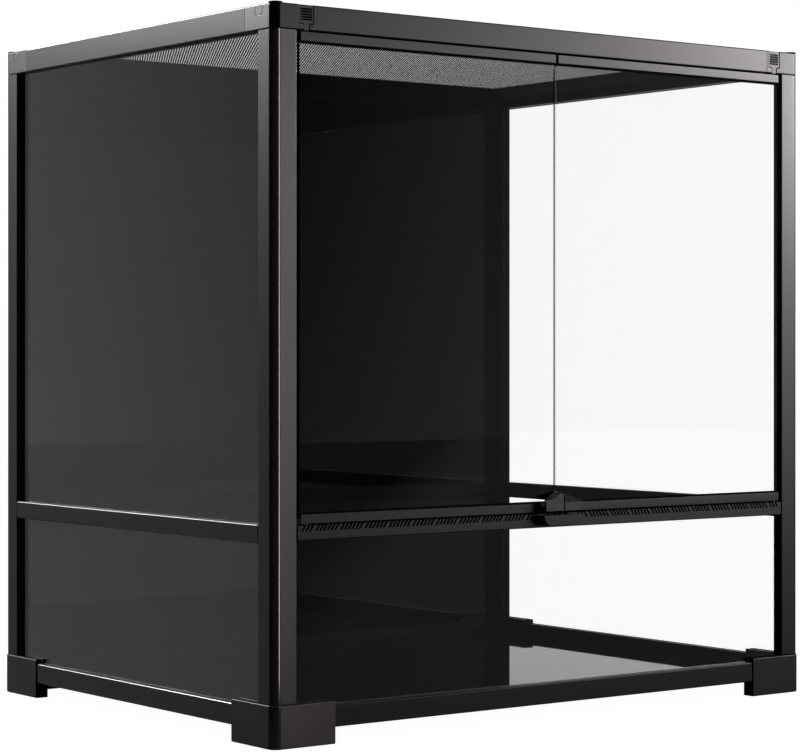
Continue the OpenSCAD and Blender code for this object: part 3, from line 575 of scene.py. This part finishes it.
def make_world():
    """White where the camera sees it, also through glass, and the graded walls elsewhere."""
    world = bpy.data.worlds.new("studio")
    bpy.context.scene.world = world
    world.use_nodes = True
    tree = world.node_tree
    tree.nodes.clear()
    direction = add_node(tree, "TexCoord").outputs["Generated"]
    strength = add_node(tree, "Mix", {
        "Factor": seen_share(tree), "A": wall_light(tree, direction), "B": SEEN_WHITE,
    }, data_type="FLOAT")
    shown = add_node(tree, "Background", {"Color": WHITE, "Strength": strength.outputs[0]})
    output = add_node(tree, "OutputWorld")
    tree.links.new(shown.outputs[0], output.inputs["Surface"])


def make_floor():
    """Pale floor: white to the camera with hardly a shadow, and graded in mirrored rays."""
    bpy.ops.mesh.primitive_plane_add(size=12)
    floor = bpy.context.object
    floor.name = "floor"
    material, tree, output = empty_material("pale_studio_floor")
    lit = add_node(tree, "BsdfDiffuse", {"Color": colour("#c8c8c8")})
    shine = add_node(tree, "Emission", {"Color": WHITE, "Strength": 0.98})
    shown = add_node(tree, "AddShader", {0: lit.outputs[0], 1: shine.outputs[0]})
    dim = add_node(tree, "BsdfDiffuse", {"Color": colour("#7a7a7a")})
    place = add_node(tree, "TexCoord").outputs["Object"]
    image = add_node(tree, "Emission", {"Color": WHITE, "Strength": floor_light(tree, place)})
    unseen = add_node(tree, "MixShader", {
        "Fac": mirrored_share(tree), 1: dim.outputs[0], 2: image.outputs[0],
    })
    mixed = add_node(tree, "MixShader", {
        "Fac": seen_share(tree), 1: unseen.outputs[0], 2: shown.outputs[0],
    })
    tree.links.new(mixed.outputs[0], output.inputs["Surface"])
    set_material(floor, material)


def add_softbox(name, place, target, size, power, lit):
    """Area lamp of this width and height, turned to its target, that lights this group alone."""
    lamp = bpy.data.lights.new(name, "AREA")
    lamp.shape = "RECTANGLE"
    lamp.size, lamp.size_y = size
    lamp.energy = power
    box = bpy.data.objects.new(name, lamp)
    bpy.context.scene.collection.objects.link(box)
    box.location = place
    box.rotation_euler = (Vector(target) - Vector(place)).to_track_quat("-Z", "Y").to_euler()
    box.visible_camera = False
    box.visible_transmission = False
    box.light_linking.receiver_collection = lit


def piece_group(name, pieces):
    """Collection of the pieces that a lamp lights alone."""
    group = bpy.data.collections.new(name)
    for piece in pieces:
        group.objects.link(piece)
    return group


def make_lamps():
    """Studio lamps: they shape the satin frame and leave no glare on the panes."""
    satin = [
        piece for piece in bpy.data.objects
        if piece.type == "MESH" and not is_pane_or_floor(piece)
    ]
    groups = {
        "satin": piece_group("satin_pieces", satin),
        "corner": piece_group("corner_pieces", [cad["post_front_left"], cad["foot_front_left"]]),
        "latch": piece_group("latch_pieces", [cad["door_left_handle"], cad["door_right_handle"]]),
    }
    for name, place, target, size, power, group in LAMPS:
        add_softbox(name, place, target, size, power, groups[group])


def is_pane_or_floor(piece):
    """True for the clear panes, the black panels and the floor of the studio."""
    return piece.name == "floor" or "glass" in piece.name or "panel" in piece.name


def make_camera():
    """Camera of the photograph, level, with its horizon moved by a shift."""
    lens = bpy.data.cameras.new("camera")
    lens.sensor_width = SENSOR_WIDTH
    lens.lens = SENSOR_WIDTH * FOCAL_PIXELS / IMAGE_WIDTH
    lens.shift_y = -HORIZON_PIXELS_UP / IMAGE_WIDTH
    lens.clip_end = 50
    camera = bpy.data.objects.new("camera", lens)
    bpy.context.scene.collection.objects.link(camera)
    camera.location = CAMERA_PLACE
    camera.rotation_euler = (math.pi / 2, 0, -CAMERA_HEADING)
    bpy.context.scene.camera = camera


# Finishes and painted shade --------------------------------------------------------------

def finish_posts_and_feet():
    """Painted shade: black seams at the ends of the posts and on the feet's top at the front, and a
    darker ledge on the feet at their sides.
    """
    low, high = cad_box_of_posts()
    seam = 0.8 * MM
    upper_seam = 0.4 * MM
    flat = high.x - CORNER_ROUND
    front_zone_end = -0.2
    # Painted shade in the seams where the posts meet the feet and the top corners
    posts = anodised_aluminium(2, "anodised_aluminium_post_", (
        ((0, -FAR, low.z - seam), (FAR, FAR, low.z + seam), 1.0),
        ((0, -FAR, high.z - upper_seam), (FAR, FAR, high.z + seam), 1.0),
    ))
    # Painted shade on the feet's top edge: a black seam at the front, a darker ledge at the sides
    feet = moulded_plastic("moulded_nylon_black_foot", *NYLON, (
        ((0, -FAR, low.z - seam), (flat, front_zone_end, low.z + seam), 1.0),
        ((flat, -FAR, low.z - seam), (FAR, FAR, low.z + seam), 0.75),
    ))
    for corner in CORNERS:
        set_material(cad[f"post_{corner}"], posts)
        set_material(cad[f"foot_{corner}"], feet)


def finish_sliders(sunk):
    """Release sliders and the connectors round them: painted shade on their sunk faces, black
    outlines in their gaps and darker grips.
    """
    outer = cad_box_of_posts()[1]
    low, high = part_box("slider_right")
    middle = (low.x + high.x) / 2
    head_half = (high.x - low.x) / 2
    neck_half = 3 * MM
    head_foot = high.z - 15.6 * MM
    rim = high.z - 0.2 * MM
    corner_reach = 13 * MM
    line = 0.5 * MM
    line_share = 0.8
    grip = 5.6 * MM
    grip_half_height = 5 * MM
    grip_middle = high.z - 7.8 * MM
    grip_share = 0.4
    # Painted shade: black on faces sunk behind the front, and partly dark over the grip's grooves
    zones = [
        ((0, sunk, 0), (outer.x - corner_reach, outer.y, rim), 1.0),
        (
            (middle - grip, -FAR, grip_middle - grip_half_height),
            (middle + grip, FAR, grip_middle + grip_half_height), grip_share,
        ),
    ]
    # Painted shade: black outlines along the gaps round the slider's head and neck
    for side in (-1, 1):
        for half, bottom, top in ((head_half, head_foot, rim), (neck_half, 0, head_foot)):
            edge = middle + side * half
            zones.append(((edge - line, -FAR, bottom), (edge + line, FAR, top), line_share))
        ends = sorted((middle + side * neck_half, middle + side * head_half))
        zones.append((
            (ends[0], -FAR, head_foot - line), (ends[1], FAR, head_foot + line), line_share,
        ))
    slotted = moulded_plastic("moulded_nylon_black_grooved", *NYLON, zones)
    names = ("slider_left", "slider_right", "top_corner_front_left", "top_corner_front_right")
    for name in names:
        set_material(cad[name], slotted)


def finish_vent_rail(sunk):
    """Vent rail: painted shade keeps the insides of its slots black."""
    outer = cad_box_of_posts()[1]
    low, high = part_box("vent_rail")
    rim = 0.8 * MM
    vents = ((0, sunk, low.z + rim), (outer.x, outer.y, high.z - rim), 1.0)
    set_material(cad["vent_rail"], anodised_aluminium(0, "anodised_aluminium_vented_", (vents,)))


def finish_latch():
    """Latch, with painted shade where it shows black.

    That is all of the keeper but its face, the sides and hollows of the handles, and the
    upper part of the right handle's front face.
    """
    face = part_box("latch_keeper")[0].y
    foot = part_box("door_left_handle")[0].z
    skin = 0.4 * MM
    side_start = 20.6 * MM
    hollow_depth = (3 * MM, 8.25 * MM)
    hollow_foot = 4 * MM
    scoop_foot = 8.7 * MM
    # Painted shade on all of the keeper behind its face, and on the handles' sides, hollows and the
    # right scoop
    behind = ((0, face + skin, 0), (FAR, FAR, FAR), 1.0)
    keeper = moulded_plastic("moulded_abs_black_keeper", *ABS, (behind,))
    set_material(cad["latch_keeper"], keeper)
    side_face = ((side_start, face + skin, 0), (FAR, FAR, FAR), 1.0)
    hollow = (
        (0, face + hollow_depth[0], foot + hollow_foot), (FAR, face + hollow_depth[1], FAR), 1.0,
    )
    scoop = ((0, -FAR, foot + scoop_foot), (FAR, face + 0.1 * MM, FAR), 1.0)
    for name, hollows in (("left", (side_face, hollow)), ("right", (side_face, hollow, scoop))):
        handle = moulded_plastic("moulded_abs_black_" + name, *GLOSSY_ABS, hollows)
        set_material(cad[f"door_{name}_handle"], handle)


def finish_front_details():
    """Zones of painted shade on posts, feet, sliders, vent rail and latch."""
    # Faces sunk this far behind the front get painted shade
    front_skin = 0.35 * MM
    sunk = cad_box_of_posts()[0].y + front_skin
    finish_posts_and_feet()
    finish_sliders(sunk)
    finish_vent_rail(sunk)
    finish_latch()


def finish_nodes():
    """Gives every CAD node its material and its soft edges, and makes the lid's sheet."""
    extrusions = [anodised_aluminium(axis) for axis in range(3)]
    connector = moulded_plastic("moulded_nylon_black", *NYLON)
    latch = moulded_plastic("moulded_abs_black", *ABS)
    seal = rubber()
    coat = moulded_plastic("powder_coat_black", *POWDER_COAT)
    finishes = {
        "connector_plastic": connector,
        "clear_glass": clear_glass("tempered_glass_side", (0, 1, 0)),
        "black_glass": black_glass(),
        "seal_rubber": seal,
        "latch_plastic": latch,
        "slider_plastic": connector,
        "steel": steel("blackened_steel", "#3a3a39"),
        "coated_mesh": coat,
    }
    for part in frame["record"]["subparts"]:
        name = part["node"]
        slot = part["material_slot"]
        if slot == "frame_aluminium":
            low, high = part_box(name)
            sizes = list(high - low)
            set_material(cad[name], extrusions[sizes.index(max(sizes))])
        else:
            set_material(cad[name], finishes[slot])
    front_glass = clear_glass("tempered_glass_front", (1, 0, 0))
    for name in ("door_left_glass", "door_right_glass", "glass_front_lower"):
        set_material(cad[name], front_glass)
    set_material(cad["latch_clip"], steel("blued_spring_steel", "#121214"))
    set_material(cad["door_stop"], seal)
    finish_front_details()
    make_lid_mesh(coat)
    edge = 0.35 * MM
    small_edge = 0.1 * MM
    hard = ("frame_aluminium", "connector_plastic", "slider_plastic", "latch_plastic")
    for part in frame["record"]["subparts"]:
        small = part["node"].startswith(("slider", "corner_snap"))
        if part["material_slot"] in hard:
            soften(part["node"], small_edge if small else edge)


bpy.context.scene.view_settings.view_transform = "Standard"
make_camera()
make_world()
make_floor()
finish_nodes()
make_lamps()
